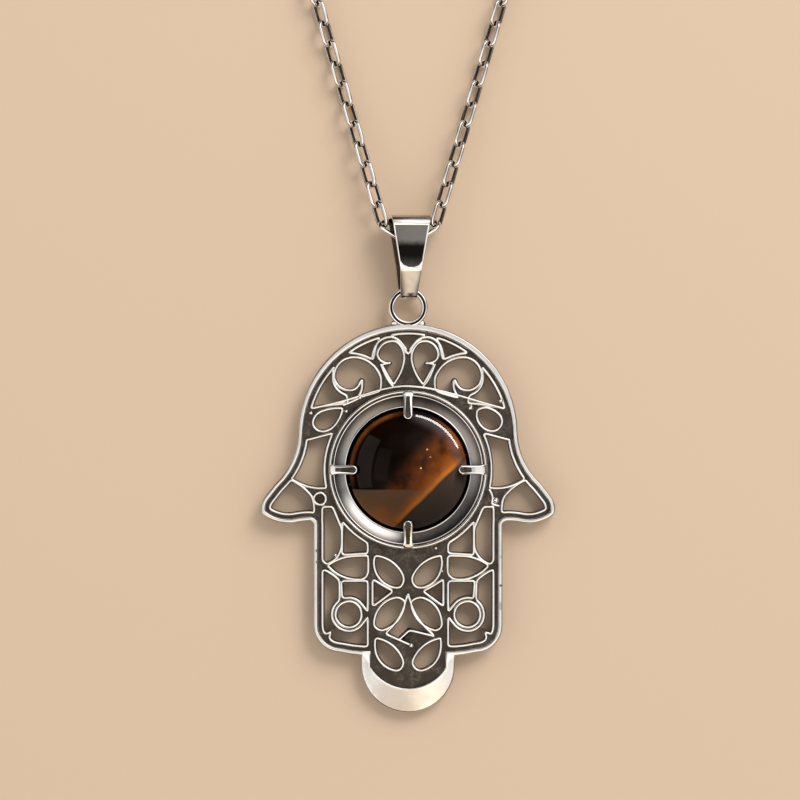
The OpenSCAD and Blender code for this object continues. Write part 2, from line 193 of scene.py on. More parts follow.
gunmetalLook = {
    "dark": (0.07, 0.065, 0.06), "light": (0.95, 0.93, 0.90), "roughness": 0.32, "brushRoughness": 0.12,
    "brushScale": 900, "brushWear": 0.12, "bump": 0.3, "bumpDepth": 0.01 * mm,
    # stretches of the round that get a painted highlight: middle in degrees, edges of the cosine of the angle
    # from it, strength
    "wearAndSheen": [(234, (0.80, 0.99), 1.0), (22, (0.6, 1.0), 0.28), (156, (0.45, 1.0), 0.24)],
}


def makeGunmetal():
    # grey satin of the setting's sloping band, with brushed wear, and painted highlights on three stretches
    # of its round
    look = gunmetalLook
    material, place = newMaterial("gunmetal")
    brush = place.noise(look["brushScale"])
    across, along = place.axis("X"), place.axis("Y")
    radius = (across * across + along * along).root()
    wearAndSheen = brush * look["brushWear"]
    # painted highlights, added to the brushed wear
    for middle, edges, strength in look["wearAndSheen"]:
        turn = math.radians(middle)
        facing = (across * math.cos(turn) + along * math.sin(turn)) / radius
        wearAndSheen = wearAndSheen + facing.step(*edges) * strength
    finishMaterial(place, {
        "Base Color": wearAndSheen.mix(look["dark"], look["light"]), "Metallic": 1.0,
        "Roughness": look["roughness"] + brush * look["brushRoughness"],
        "Normal": brush.bump(look["bump"], look["bumpDepth"]),
    })
    return material


stoneLook = {
    "dark": (0.0022, 0.0010, 0.0005), "brown": (0.060, 0.036, 0.021), "grey": (0.026, 0.019, 0.015),
    "ember": (0.085, 0.023, 0.004), "flame": (0.215, 0.064, 0.010), "seam": (0.36, 0.145, 0.035),
    "paintedReflection": (0.045, 0.037, 0.040), "speck": (0.85, 0.45, 0.20),
    "roughness": 0.35, "coatRoughness": 0.05, "coatIndex": 1.12,
    # the flame's sharp edge: its slope in degrees and its distance from the middle in mm
    "slant": 44.5, "edge": 3.67, "warp": 0.5, "warpScale": 230,
    "silkScale": 360, "silkDetail": 6, "silkStretch": (1, 1, 0.3), "slopeLean": 0.3,
    # x, y and strength of each speck, and the edges of its radius
    "specks": [(2.25, 2.43, 0.5), (1.5, 0.24, 0.9), (2.61, 1.54, 0.25)], "speckEdges": (0.13, 0.03),
    # strengths; pairs are the least, and the gain that the silk or a rise brings
    "emberUnderFloor": 0.4, "flamePower": 1.5, "flameSilk": (0.3, 0.8), "flameFaded": 0.5,
    "seamStrength": 0.3, "footRise": (0.35, 0.65), "footSilk": (0.25, 0.5), "glowRight": 0.7,
    "paintedReflectionSilk": (0.3, 1), "paintedReflectionStrength": 0.5,
}
# bands of the stone's pattern: the steps that are multiplied, each a coordinate and its two edges
stoneBands = {
    "inside": [("beyond", 0.2, -0.25)],
    "floor": [("wavy", -2.23, -2.47)],
    "silky": [("silk", 0.3, 0.7)],
    "shade": [("beyond", -0.1, 0.35), ("slope", -0.2, -1.4)],
    "ember": [("beyond", -5.4, -1.6), ("silk", 0.28, 0.62), ("run", -7.0, -2.6)],
    "flame": [("beyond", -1.9, -0.1)],
    "flameEnds": [("run", -7.2, -5.6), ("run", 6.9, 3.6)],
    "flameFade": [("run", -4.0, 5.0)],
    "seam": [("beyond", -0.75, -0.2), ("silk", 0.25, 0.7), ("run", -6.4, -3.0), ("run", 6.4, 2.0)],
    "foot": [("radius", 3.8, 6.5), ("along", -2.4, -5.0)],
    "footRise": [("beyond", -4.2, -0.8)],
    "glow": [("radius", 6.98, 6.8), ("silk", 0.15, 0.75)],
    "glowLeft": [("radius", 6.25, 6.7), ("across", 0.9, -0.9), ("along", -2.4, 0.2)],
    "glowRight": [("radius", 6.6, 6.72), ("across", 2.6, 4.2), ("along", -0.2, 1.4)],
    # a painted reflection on the upper right, inside the edge
    "paintedReflection": [("radius", 4.9, 6.3), ("radius", 6.7, 6.45), ("corner", 5.2, 8.0)],
}


def makeStone():
    # dark tiger's eye: a slanting flame with one sharp edge, a brown floor and a few specks, with painted
    # light: glowing edges and a soft reflection
    look = stoneLook
    material, place = newMaterial("brown_stone")
    across, along = place.axis("X") / mm, place.axis("Y") / mm
    warp = (place.noise(look["warpScale"]) - 0.5) * look["warp"]  # to both sides
    turn = math.radians(look["slant"])
    wires = {
        "across": across, "along": along, "radius": (across * across + along * along).root(),
        "beyond": across * math.sin(turn) - along * math.cos(turn) - look["edge"] + warp,
        "run": across * math.cos(turn) + along * math.sin(turn),
        "silk": place.noise(look["silkScale"], look["silkDetail"], look["silkStretch"]),
        "wavy": along + warp, "slope": along - across * look["slopeLean"], "corner": across + along,
    }

    def band(name):
        steps = [wires[key].step(nothing, full) for key, nothing, full in stoneBands[name]]
        return math.prod(steps[1:], start=steps[0])

    def lift(wire, key):  # from the least upwards
        least, gain = look[key]
        return least + wire * gain

    inside, floor, silky = (band(name) for name in ("inside", "floor", "silky"))
    ember = inside * band("ember") * (1 - floor * (1 - look["emberUnderFloor"]))
    flame = inside * band("flame") ** look["flamePower"] * lift(silky, "flameSilk") * band("flameEnds")
    foot = inside * band("foot") * lift(band("footRise"), "footRise") * lift(silky, "footSilk")
    glow = band("glow") * band("glowLeft").most(band("glowRight") * look["glowRight"])
    layers = [
        (floor * inside, "brown"),  # under a level edge on the left
        (band("shade"), "grey"),  # beyond the flame
        (ember, "ember"),
        (flame * (1 - band("flameFade") * (1 - look["flameFaded"])), "flame"),
        (inside * band("seam") * look["seamStrength"], "seam"),
        (foot, "flame"),  # warm light gathered where the flame widens
        (glow, "ember"),  # painted glow inside the edge, on the upper left and the upper right
        (band("paintedReflection") * lift(wires["silk"], "paintedReflectionSilk") * look["paintedReflectionStrength"], "paintedReflection"),  # painted reflection: a soft violet grey bloom
    ]
    for x, y, strength in look["specks"]:
        away = ((across - x) ** 2 + (along - y) ** 2).root()
        layers.append((away.step(*look["speckEdges"]) * strength, "speck"))
    base = look["dark"]
    for layer, tint in layers:
        base = layer.mix(base, look[tint])
    finishMaterial(place, {
        "Base Color": base, "Roughness": look["roughness"], "Metallic": 0.0, "Specular IOR Level": 0.0,
        "Coat Weight": 1.0, "Coat Roughness": look["coatRoughness"], "Coat IOR": look["coatIndex"],
    })
    return material


panelLook = {
    "upper": (0.17, 0.165, 0.16), "lower": (0.008, 0.007, 0.006), "foot": (0.10, 0.095, 0.085),
    "upperEdges": (26.6, 27.4), "footEdges": (25.6, 23.4), "upperLeast": 0.75, "upperGrain": 0.4,
    "roughness": 0.3, "grainRoughness": 0.15, "grainScale": 1500, "ragged": 0.5,
    "bump": 0.2, "bumpDepth": 0.01 * mm,
}


def makePanel():
    # smooth panel of the bail's face with a painted reflection: grey at the top, dark below, a little lighter
    # at its foot
    look = panelLook
    material, place = newMaterial("bail_panel")
    grain = place.noise(look["grainScale"])
    height = place.axis("Y") / mm + grain * look["ragged"]
    upper = height.step(*look["upperEdges"]) * (look["upperLeast"] + grain * look["upperGrain"])
    lower = height.step(*look["footEdges"]).mix(look["lower"], look["foot"])
    finishMaterial(place, {
        "Base Color": upper.mix(lower, look["upper"]), "Metallic": 1.0,
        "Roughness": look["roughness"] + grain * look["grainRoughness"],
        "Normal": grain.bump(look["bump"], look["bumpDepth"]),
    })
    return material


neverDark = (-1.0, -0.5)  # heights in mm, all under the piece
# nicks: x, y, half width and reach in mm; each is painted dark, as the shade of a dent or notch that the
# shape lacks
rimNicks = [
    (10.95, -10.3, 0.3, 0.5), (10.95, -13.7, 0.3, 0.45), (10.9, -16.1, 0.3, 0.8), (-10.82, -9.6, 0.3, 0.5),
    (-10.8, -10.9, 0.3, 0.4),
]
# the notch at the bail's tip is painted as a dark spot, its shade
tipNotch = [(0.3, 20.62, 0.8, 0.6)]

polishedSilver = makeSilver("polished_silver", neverDark)
rimSilver = makeSilver("rim_silver", (-0.4, 0.1), tone=0.80, roughness=0.1, nicks=rimNicks)
capSilver = makeSilver("cap_silver", neverDark, tone=0.5, roughness=0.22)
bailSilver = makeSilver("bail_silver", neverDark, nicks=tipNotch)
# the wires darken towards the plate: oxide, with painted shade at their foot
wireSilver = makeSilver("wire_silver", (1.27, 1.42))
blackenedAndShade = makeBlackened()
gunmetal = makeGunmetal()
brownStone = makeStone()
bailPanel = makePanel()
print("materials made")


# Mesh helpers: they take points, distances and radii in mm

limits = {
    "merge": 0.001, "onPlane": 1e-4, "flatWithin": 1,  # the last in degrees
    # upward share of a normal: more than level or up on flat faces, less than upright on walls
    "level": 0.99, "up": 0.9, "upright": 0.02,
}
tubeResolution = 4
beadSteps = 3
smoothAll = 180  # degrees


def mergeVerts(bm, verts, distance=limits["merge"]):
    bmesh.ops.remove_doubles(bm, verts=verts, dist=distance * mm)


def cadMesh(node):  # copy of a node's mesh with its loose triangles joined
    bm = bmesh.new()
    bm.from_mesh(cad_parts[node].data)
    mergeVerts(bm, bm.verts)
    return bm


def vertsOf(faces):
    return list({v for f in faces for v in f.verts})


def move(bm, verts, x=0, y=0, z=0):
    bmesh.ops.translate(bm, verts=verts, vec=(x * mm, y * mm, z * mm))


def turnAbout(bm, verts, axis, angle):  # angle in radians
    bmesh.ops.rotate(bm, verts=verts, cent=(0, 0, 0), matrix=Matrix.Rotation(angle, 3, axis))


def cut(bm, point, direction, geom=None, **clear):  # cuts with a plane and returns the new edges
    place = [c * mm for c in point]
    geom = geom or bm.verts[:] + bm.edges[:] + bm.faces[:]
    made = bmesh.ops.bisect_plane(
        bm, geom=geom, plane_co=place, plane_no=direction, dist=limits["onPlane"] * mm, **clear)
    return [e for e in made["geom_cut"] if isinstance(e, bmesh.types.BMEdge)]


def keepFaces(bm, wanted):
    others = [f for f in bm.faces if not wanted(f)]
    bmesh.ops.delete(bm, geom=others, context="FACES")


def thicken(bm, depth):  # makes a flat mesh a solid of that depth, with the flat faces on top
    made = bmesh.ops.extrude_face_region(bm, geom=bm.faces[:], use_keep_orig=True)["geom"]
    move(bm, [v for v in made if isinstance(v, bmesh.types.BMVert)], z=-depth)
    bmesh.ops.recalc_face_normals(bm, faces=bm.faces)


def spinRound(bm, centre, steps):  # a full turn about an upright axis through a point in m
    bmesh.ops.spin(bm, geom=bm.verts[:] + bm.edges[:], cent=centre, axis=up, angle=2 * math.pi, steps=steps,
                   use_merge=True, use_duplicate=False)


def profileRing(rows, steps):  # solid of revolution from rows of radius and height
    bm = bmesh.new()
    verts = [bm.verts.new((r * mm, 0, z * mm)) for r, z in rows]
    closed = verts if rows[0][0] == 0 else verts + verts[:1]
    for pair in zip(closed, closed[1:]):
        bm.edges.new(pair)
    spinRound(bm, (0, 0, 0), steps)
    mergeVerts(bm, bm.verts)
    bmesh.ops.recalc_face_normals(bm, faces=bm.faces)
    return bm


def roundEdges(bm, width, sharpFrom):  # rounds the edges that bend by more degrees than sharpFrom
    sharp = [e for e in bm.edges if e.is_manifold and e.calc_face_angle() > math.radians(sharpFrom)]
    bmesh.ops.bevel(bm, geom=sharp, offset=width * mm, affect="EDGES", segments=2, profile=0.5,
                    material=-1, clamp_overlap=True)


def roundOver(bm, faces, radius, steps, way):
    # insets a flat region in steps that follow a quarter circle; way is 1 for a top and -1 for a back
    move(bm, vertsOf(faces), z=-way * radius)
    turn = math.pi / 2 / steps
    for i in range(steps):
        inward = (math.cos(i * turn) - math.cos((i + 1) * turn)) * radius
        rise = (math.sin((i + 1) * turn) - math.sin(i * turn)) * radius
        bmesh.ops.inset_region(
            bm, faces=faces, thickness=inward * mm, use_boundary=True, use_even_offset=True)
        move(bm, vertsOf(faces), z=way * rise)


def makeObject(name, bm):
    data = bpy.data.meshes.new(name)
    bm.to_mesh(data)
    bm.free()
    made = bpy.data.objects.new(name, data)
    scene.collection.objects.link(made)
    return made


def makePiece(name, bm, materials, smoothAngle, flatFrom=math.inf):
    # faces larger than flatFrom, in mm2, are shaded flat
    for face in bm.faces:
        face.smooth = face.calc_area() < flatFrom * mm * mm
    piece = makeObject(name, bm)
    piece.data.set_sharp_from_angle(angle=math.radians(smoothAngle))
    for material in materials:
        piece.data.materials.append(material)
    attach(piece, "root")
    print(name, len(piece.data.polygons), "faces")
    return piece


def makeTube(name, bm, radius):  # a round silver wire along a mesh's edges
    path = makeObject(name, bm)
    bpy.ops.object.select_all(action="DESELECT")
    bpy.context.view_layer.objects.active = path
    path.select_set(True)
    bpy.ops.object.convert(target="CURVE")
    path.data.bevel_depth = radius * mm
    path.data.bevel_resolution = tubeResolution
    path.data.use_fill_caps = True
    bpy.ops.object.convert(target="MESH")
    bm = bmesh.new()
    bm.from_mesh(path.data)
    bpy.data.objects.remove(path)
    return makePiece(name, bm, [wireSilver], smoothAll)


# Hand: heights of the casting, and how far a height may be off and still count as the same
hand = {"rimTop": 1.8, "wireTop": 1.5, "same": 0.02}


def isWall(face, top):  # upright face that runs from the back up to the height given
    heights = [v.co.z / mm for v in face.verts]
    upright = abs(face.normal.z) < limits["upright"]
    return upright and min(heights) < hand["same"] and abs(max(heights) - top) < hand["same"]


# Plate: the model's plate without its wires and top ring, with its outer wall let into the rim
plateForm = {"top": 1.18, "letIn": 0.12, "back": 0.05, "crownY": 17.15, "smoothAngle": 30}


def makePlate():
    bm = cadMesh("hand_casting")
    outer = vertsOf(f for f in bm.faces if isWall(f, hand["rimTop"]))
    inward = {v: Vector((-v.normal.x, -v.normal.y, 0)).normalized() for v in outer}
    for v, way in inward.items():
        v.co += way * plateForm["letIn"] * mm
    for point, direction in (((0, plateForm["crownY"], 0), (0, 1, 0)), ((0, 0, plateForm["top"]), up)):
        edges = cut(bm, point, direction, clear_outer=True)
        bmesh.ops.triangle_fill(bm, use_beauty=True, edges=edges)
    for v in bm.verts:
        v.co.z = max(v.co.z, plateForm["back"] * mm)
    bmesh.ops.recalc_face_normals(bm, faces=bm.faces)
    for face in bm.faces:  # the back is polished
        face.material_index = 1 if face.normal.z < -limits["up"] else 0
    materials = [blackenedAndShade, polishedSilver]
    return makePiece("pierced_plate", bm, materials, plateForm["smoothAngle"])


# Wires: one round wire along the upper edge of each opening
wireForm = {"width": 0.36, "letIn": 0.05, "step": 0.22, "softenings": 2}


def soften(bm, verts):
    bmesh.ops.smooth_vert(bm, verts=verts, factor=0.5, use_axis_x=True, use_axis_y=True)


def makeWires():
    bm = cadMesh("hand_casting")
    keepFaces(bm, lambda f: isWall(f, hand["wireTop"]))
    bm.normal_update()
    reach = wireForm["width"] / 2
    moved = {v: v.normal * v.calc_shell_factor() * (reach + wireForm["letIn"]) * mm for v in bm.verts}
    for v, way in moved.items():
        v.co -= way
    low = [v for v in bm.verts if v.co.z < hand["wireTop"] / 2 * mm]
    bmesh.ops.delete(bm, geom=low, context="VERTS")
    for v in bm.verts:
        v.co.z = (hand["wireTop"] - reach) * mm
    byCuts = {}
    for e in bm.edges:
        byCuts.setdefault(int(e.calc_length() / mm / wireForm["step"]), []).append(e)
    for cuts, edges in byCuts.items():
        if cuts:
            bmesh.ops.subdivide_edges(bm, edges=edges, cuts=cuts)
    for _ in range(wireForm["softenings"]):
        soften(bm, bm.verts)
    return makeTube("window_wires", bm, reach)


# Rim: a polished band; at the foot it widens to a crescent, the tongue, that falls away to its edge
rimForm = {
    "ringRadius": 9.4, "same": 0.01, "merge": 0.06, "round": 0.25, "roundSteps": 6, "backRound": 0.1,
    "tongueX": 5.6, "tongueY": -22.2, "smoothAngle": 50,
    "fallCentre": -21.0, "fallFrom": 4.6, "fallSlope": 0.2, "fallStep": 0.7, "fallAbove": 0.7,
}


def makeRim():
    bm = cadMesh("hand_casting")
    bm.normal_update()
    top = hand["rimTop"] * mm
    foot = rimForm["tongueY"] * mm

    def isTop(face):
        level = face.normal.z > limits["level"]
        high = all(abs(v.co.z - top) < rimForm["same"] * mm for v in face.verts)
        return level and high and face.calc_center_median().xy.length > rimForm["ringRadius"] * mm

    keepFaces(bm, isTop)
    mergeVerts(bm, bm.verts, rimForm["merge"])
    upper = bm.faces[:]
    thicken(bm, hand["rimTop"])
    roundOver(bm, upper, rimForm["round"], rimForm["roundSteps"], 1)
    lower = [f for f in bm.faces if f.normal.z < -limits["level"]]
    roundOver(bm, lower, rimForm["backRound"], 1, -1)
    # cuts across the tongue give its fall the vertices
    step = rimForm["fallStep"]
    for i in range(1, int(2 * rimForm["tongueX"] / step)):
        cuts = (
            ((i * step - rimForm["tongueX"], 0, 0), (1, 0, 0)),
            ((0, rimForm["tongueY"] - i * step / 2, 0), (0, 1, 0)),
        )
        for point, direction in cuts:
            faces = [f for f in bm.faces if f.calc_center_median().y < foot]
            edges = list({e for f in faces for e in f.edges})
            cut(bm, point, direction, vertsOf(faces) + edges + faces)
    for v in bm.verts:
        away = Vector((v.co.x / mm, v.co.y / mm - rimForm["fallCentre"])).length
        if v.co.y < foot and v.co.z > rimForm["fallAbove"] * top:
            v.co.z -= max(0, away - rimForm["fallFrom"]) * rimForm["fallSlope"] * mm
    return makePiece("polished_rim", bm, [rimSilver], rimForm["smoothAngle"])


plate = makePlate()
wires = makeWires()
rim = makeRim()

# Setting: rows of radius and height from the outer foot over lip, groove and sloping band to the inner foot
setting = {
    "rows": [
        (9.4, 1.0), (9.4, 2.16), (9.36, 2.29), (9.27, 2.38), (9.2, 2.4), (9.13, 2.38), (9.04, 2.29),
        (9.0, 2.16), (8.98, 1.95), (8.88, 1.95), (8.86, 2.16), (8.8, 2.22), (8.74, 2.22), (8.68, 2.14),
        (7.56, 1.60), (7.53, 1.7), (7.45, 1.75), (7.37, 1.71), (7.32, 1.62), (7.32, 1.0),
    ],
    "steps": 144, "round": 0.02, "roundFrom": 50, "smoothAngle": 35,
    # where the faces are satin or dark: radii, heights, and the shares of their normals that point up or out
    "bandInner": 7.55, "bandOuter": 8.68, "bandUp": 0.2, "lipInner": 8.66, "lipTop": 2.19, "lipOut": -0.3,
    "grooveInner": 8.86, "grooveOuter": 9.01, "grooveTop": 2.1,
}


def makeSetting():
    bm = profileRing(setting["rows"], setting["steps"])
    roundEdges(bm, setting["round"], setting["roundFrom"])
    for face in bm.faces:
        centre = face.calc_center_median()
        r, z = centre.xy.length / mm, centre.z / mm
        inward = face.normal.xy.dot(centre.xy.normalized()) < setting["lipOut"]
        lip = setting["lipInner"] < r < setting["grooveInner"] and inward and z < setting["lipTop"]
        groove = setting["grooveInner"] < r < setting["grooveOuter"] and z < setting["grooveTop"]
        band = setting["bandInner"] < r < setting["bandOuter"] and face.normal.z > setting["bandUp"]
        face.material_index = 2 if lip or groove else 1 if band else 0
    materials = [polishedSilver, gunmetal, blackenedAndShade]
    return makePiece("setting_ring", bm, materials, setting["smoothAngle"])


# Prongs: each is a hollow-topped claw, from its tip over the stone out to the setting's edge
prong = {
    "names": [("north", 8.7), ("west", 8.6), ("south", 8.8), ("east", 7.5)],  # and where the hollow ends
    "width": 1.1, "tip": 5.95, "end": 9.32, "thick": 0.55, "wall": 0.1, "hollow": 0.2, "taper": 0.55,
    "flareFrom": 8.3, "flare": 0.8, "round": 0.16, "roundSteps": 4, "tipSteps": 24, "cuts": 16,
    "smoothAngle": 50,
    # radius and height of the top
    "path": [(5.95, 3.50), (6.5, 3.46), (7.1, 3.2), (8.0, 2.86), (8.9, 2.62), (9.4, 2.42)],
}


def pathHeight(path, r):
    for (a, za), (b, zb) in zip(path, path[1:]):
        if r <= b:
            return za + (zb - za) * max(0, (r - a) / (b - a))
    return path[-1][1]


def makeProng(name, hollowEnd, quarter):
    length = prong["end"] - prong["tip"]
    middle = prong["tip"] + prong["width"] / 2
    bm = bmesh.new()
    bmesh.ops.create_circle(bm, cap_ends=True, radius=prong["width"] / 2 * mm, segments=prong["tipSteps"])
    for v in bm.verts:  # the circle is drawn out to the prong's length
        v.co.y += middle * mm
        if v.co.y > (middle + limits["onPlane"]) * mm:
            v.co.y += (length - prong["width"]) * mm
    thicken(bm, prong["thick"])
    top = [f for f in bm.faces if f.normal.z > limits["up"]]
    roundOver(bm, top, prong["round"], prong["roundSteps"], 1)
    for v in vertsOf(top):  # the hollow lies in the free end
        v.co.y = min(v.co.y, hollowEnd * mm)
        v.co.x *= 1 - prong["taper"] * (v.co.y / mm - prong["tip"]) / length
    bmesh.ops.inset_region(bm, faces=top, thickness=prong["wall"] * mm, use_even_offset=True)
    move(bm, vertsOf(top), z=-prong["hollow"])
    # the hollow is painted dark: painted shade in it
    for face in top:
        face.material_index = 1
    for i in range(1, prong["cuts"]):
        cut(bm, (0, prong["tip"] + length * i / prong["cuts"], 0), (0, 1, 0))
    for v in bm.verts:
        r = v.co.y / mm
        v.co.z += pathHeight(prong["path"], r) * mm
        widen = min(1, max(0, (r - prong["flareFrom"]) / (prong["end"] - prong["flareFrom"])))
        v.co.x *= 1 + prong["flare"] * widen * widen
    turnAbout(bm, bm.verts, "Z", quarter * math.pi / 2)
    return makePiece(name, bm, [polishedSilver, blackenedAndShade], prong["smoothAngle"])


# Top ring with a blob of solder on each side; its wire is squarish on top, with a groove
topRing = {
    "y": 19.2, "z": 1.402, "radius": 1.98, "wire": 0.40, "steps": 96, "sides": 36, "smoothAngle": 60,
    "square": 3.0, "groove": 0.12, "grooveWide": 0.12,
    "solderX": 1.45, "solderY": 17.45, "solderZ": 1.25, "solderSize": (0.75, 0.42, 0.42), "solderTurn": 0.35,
}


def makeTopRing():
    form = topRing
    bm = bmesh.new()
    circle = bmesh.ops.create_circle(bm, radius=form["wire"] * mm, segments=form["sides"])["verts"]
    turnAbout(bm, circle, "X", math.pi / 2)
    for v in circle:
        aside = abs(v.co.x) / mm
        if v.co.z > 0:
            part = 1 - min(1, aside / form["wire"]) ** form["square"]
            groove = max(0, 1 - aside / form["grooveWide"]) * form["groove"]
            v.co.z = (form["wire"] * part ** (1 / form["square"]) - groove) * mm
    centre = Vector((0, form["y"], form["z"])) * mm
    bmesh.ops.translate(bm, verts=circle, vec=centre + Vector((form["radius"] * mm, 0, 0)))
    spinRound(bm, centre, form["steps"])
    for face in bm.faces:  # the groove is painted dark: painted shade in it
        middle = face.calc_center_median() - centre
        if middle.z > 0 and abs(middle.xy.length / mm - form["radius"]) < form["grooveWide"]:
            face.material_index = 1
    for side in (-1, 1):
        blob = bmesh.ops.create_icosphere(bm, subdivisions=beadSteps, radius=mm)["verts"]
        bmesh.ops.scale(bm, verts=blob, vec=form["solderSize"])
        turnAbout(bm, blob, "Z", -side * form["solderTurn"])
        move(bm, blob, side * form["solderX"], form["solderY"], form["solderZ"])
    bmesh.ops.recalc_face_normals(bm, faces=bm.faces)
    return makePiece("top_ring", bm, [polishedSilver, blackenedAndShade], form["smoothAngle"])


# Small soldered work on the plate: rows of points, and beads with their radius
solderWork = {
    "level": 1.36, "wire": 0.17, "softenings": 2,
    "mirrored": [
        [(-4.27, 13.2), (-3.95, 14.75), (-3.0, 15.6), (-1.9, 15.78), (-0.95, 15.3), (-0.2, 14.2)],
        [(-3.2, 12.5), (-2.45, 10.6), (-1.75, 9.85)],
    ],
    "single": [
        [(-10.67, 7.41), (-8.06, 8.01), (-5.69, 8.72), (-3.32, 9.49), (-0.95, 9.9), (0.24, 9.9),
         (2.61, 9.67), (5.57, 8.9), (8.54, 8.01), (11.27, 7.23)],
        [(-7.7, 7.65), (-6.8, 7.95), (-5.8, 8.45)],
        [(-2.55, -19.5), (0.38, -20.8)],
        [(9.6, -2.3), (10.2, -3.3), (9.7, -4.1), (10.8, -4.3)],
    ],
    "beads": [
        (10.97, 8.16, 0.3), (7.4, 7.32, 0.34), (3.8, 7.9, 0.2), (-5.7, 8.5, 0.26), (-7.3, 6.9, 0.24),
        (-11.5, 6.7, 0.26), (0.38, -20.8, 0.32), (10.4, -3.6, 0.4), (-8.6, -10.1, 0.22), (3.3, -9.3, 0.22),
        (4.0, -12.0, 0.2),
    ],
}


def makeSolderWires():
    bm = bmesh.new()
    rows = solderWork["single"][:]
    for row in solderWork["mirrored"]:
        rows += [row, [(-x, y) for x, y in row]]
    for row in rows:
        verts = [bm.verts.new((x * mm, y * mm, solderWork["level"] * mm)) for x, y in row]
        for pair in zip(verts, verts[1:]):
            bm.edges.new(pair)
    for _ in range(solderWork["softenings"]):
        bmesh.ops.subdivide_edges(bm, edges=bm.edges, cuts=1)
        soften(bm, [v for v in bm.verts if len(v.link_edges) == 2])
    return makeTube("solder_wires", bm, solderWork["wire"])


def makeSolderBeads():
    bm = bmesh.new()
    for x, y, radius in solderWork["beads"]:
        bead = bmesh.ops.create_icosphere(bm, subdivisions=beadSteps, radius=radius * mm)["verts"]
        move(bm, bead, x, y, solderWork["level"])
    return makePiece("solder_beads", bm, [polishedSilver], smoothAll)


ring = makeSetting()
prongs = [makeProng(f"prong_{name}", end, i) for i, (name, end) in enumerate(prong["names"])]
loop = makeTopRing()
solders = [makeSolderWires(), makeSolderBeads()]
for piece in [plate, wires, rim, ring, loop] + prongs + solders:
    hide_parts("hand_casting")

# Stone: rows of radius and height up to the dome's edge, and the height of the dome
cabochon = {
    "rows": [(0, 0.87), (6.8, 0.87), (7.0, 1.05), (7.0, 1.9), (6.96, 2.1), (6.86, 2.28)],
    "top": 5.24, "domeSteps": 72, "steps": 256, "smoothAngle": 50,
}


def makeCabochon():
    edge, edgeZ = cabochon["rows"][-1]
    rise = cabochon["top"] - edgeZ
    radius = (edge * edge + rise * rise) / (2 * rise)
    centreZ = cabochon["top"] - radius
    turn = math.asin(edge / radius)
    turns = [turn * (1 - i / cabochon["domeSteps"]) for i in range(1, cabochon["domeSteps"])]
    dome = [(radius * math.sin(a), centreZ + radius * math.cos(a)) for a in turns]
    bm = profileRing(cabochon["rows"] + dome + [(0, cabochon["top"])], cabochon["steps"])
    piece = makePiece("cabochon", bm, [brownStone], cabochon["smoothAngle"])
    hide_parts("stone")
    return piece


stone = makeCabochon()

# Bail: the folded band of the model, with softened edges and a sunk panel on its face
bail = {
    "panelInset": 0.14, "panelDepth": 0.06, "panelWall": 0.04, "corner": 0.8, "cornerCut": 0.7,
    "lowFirst": 10, "merge": 0.1,
    "round": 0.07, "roundFrom": 35, "smoothAngle": 35, "flatFrom": 0.6,
    # shares of a face's normal: up on the flat front, sideways on the dark inside, to the wide end on the cap
    "flatUp": 0.97, "darkSideways": 0.5, "capEndwards": 0.25, "capUp": 0.3, "frontUp": -0.3,
}


def cadFlats(node):  # a node's mesh with the triangles of each flat face joined to one
    bm = cadMesh(node)
    bmesh.ops.dissolve_limit(
        bm, angle_limit=math.radians(limits["flatWithin"]), verts=bm.verts, edges=bm.edges)
    return bm


def makeBail():
    bm = cadFlats("bail")
    bm.normal_update()
    facing = sorted((f for f in bm.faces if f.normal.z > bail["flatUp"]), key=lambda f: f.calc_area())
    panel = max(facing[-2:], key=lambda f: f.calc_center_median().z)
    bmesh.ops.inset_region(bm, faces=[panel], thickness=bail["panelInset"] * mm, use_even_offset=True)
    mergeVerts(bm, panel.verts[:], bail["merge"])
    for side in (-1, 1):  # its two lower corners are cut off
        corner = max(panel.verts, key=lambda v: side * v.co.x - v.co.y * bail["lowFirst"])
        for edge in [e for e in corner.link_edges if e in panel.edges[:]]:
            bmesh.utils.edge_split(edge, corner, bail["corner"] * mm / edge.calc_length())
        beside = [e.other_vert(corner).co for e in corner.link_edges if e in panel.edges[:]]
        corner.co += ((beside[0] + beside[1]) / 2 - corner.co) * bail["cornerCut"]
    bmesh.ops.inset_region(bm, faces=[panel], thickness=bail["panelWall"] * mm, use_even_offset=True)
    bmesh.ops.translate(bm, verts=panel.verts[:], vec=-panel.normal * bail["panelDepth"] * mm)
    panel.material_index = 1
    roundEdges(bm, bail["round"], bail["roundFrom"])
    bm.normal_update()
    low, high = (Vector(corner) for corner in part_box("bail"))
    middle = (low + high) / 2
    for face in bm.faces:
        inside = (middle - face.calc_center_median()).yz.dot(face.normal.yz) > 0
        if inside and abs(face.normal.x) < bail["darkSideways"]:  # the inside of the fold is painted dark: painted shade
            face.material_index = 2
        elif face.normal.y > bail["capEndwards"] and face.normal.z > bail["capUp"]:  # the cap, in a darker and rougher silver
            face.material_index = 3
        # the front's notch is painted dark, as its shade
        elif face.material_index == 0 and face.normal.z > bail["frontUp"]:  # the front has the notch
            face.material_index = 4
    materials = [polishedSilver, bailPanel, blackenedAndShade, capSilver, bailSilver]
    piece = makePiece("folded_bail", bm, materials, bail["smoothAngle"], bail["flatFrom"])
    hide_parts("bail")


makeBail()

# Chain: a clean oval link laid on each link of the model
link = {"length": 3.52, "width": 1.99, "wire": 0.50, "steps": 28, "sides": 14, "darkOut": -0.25}


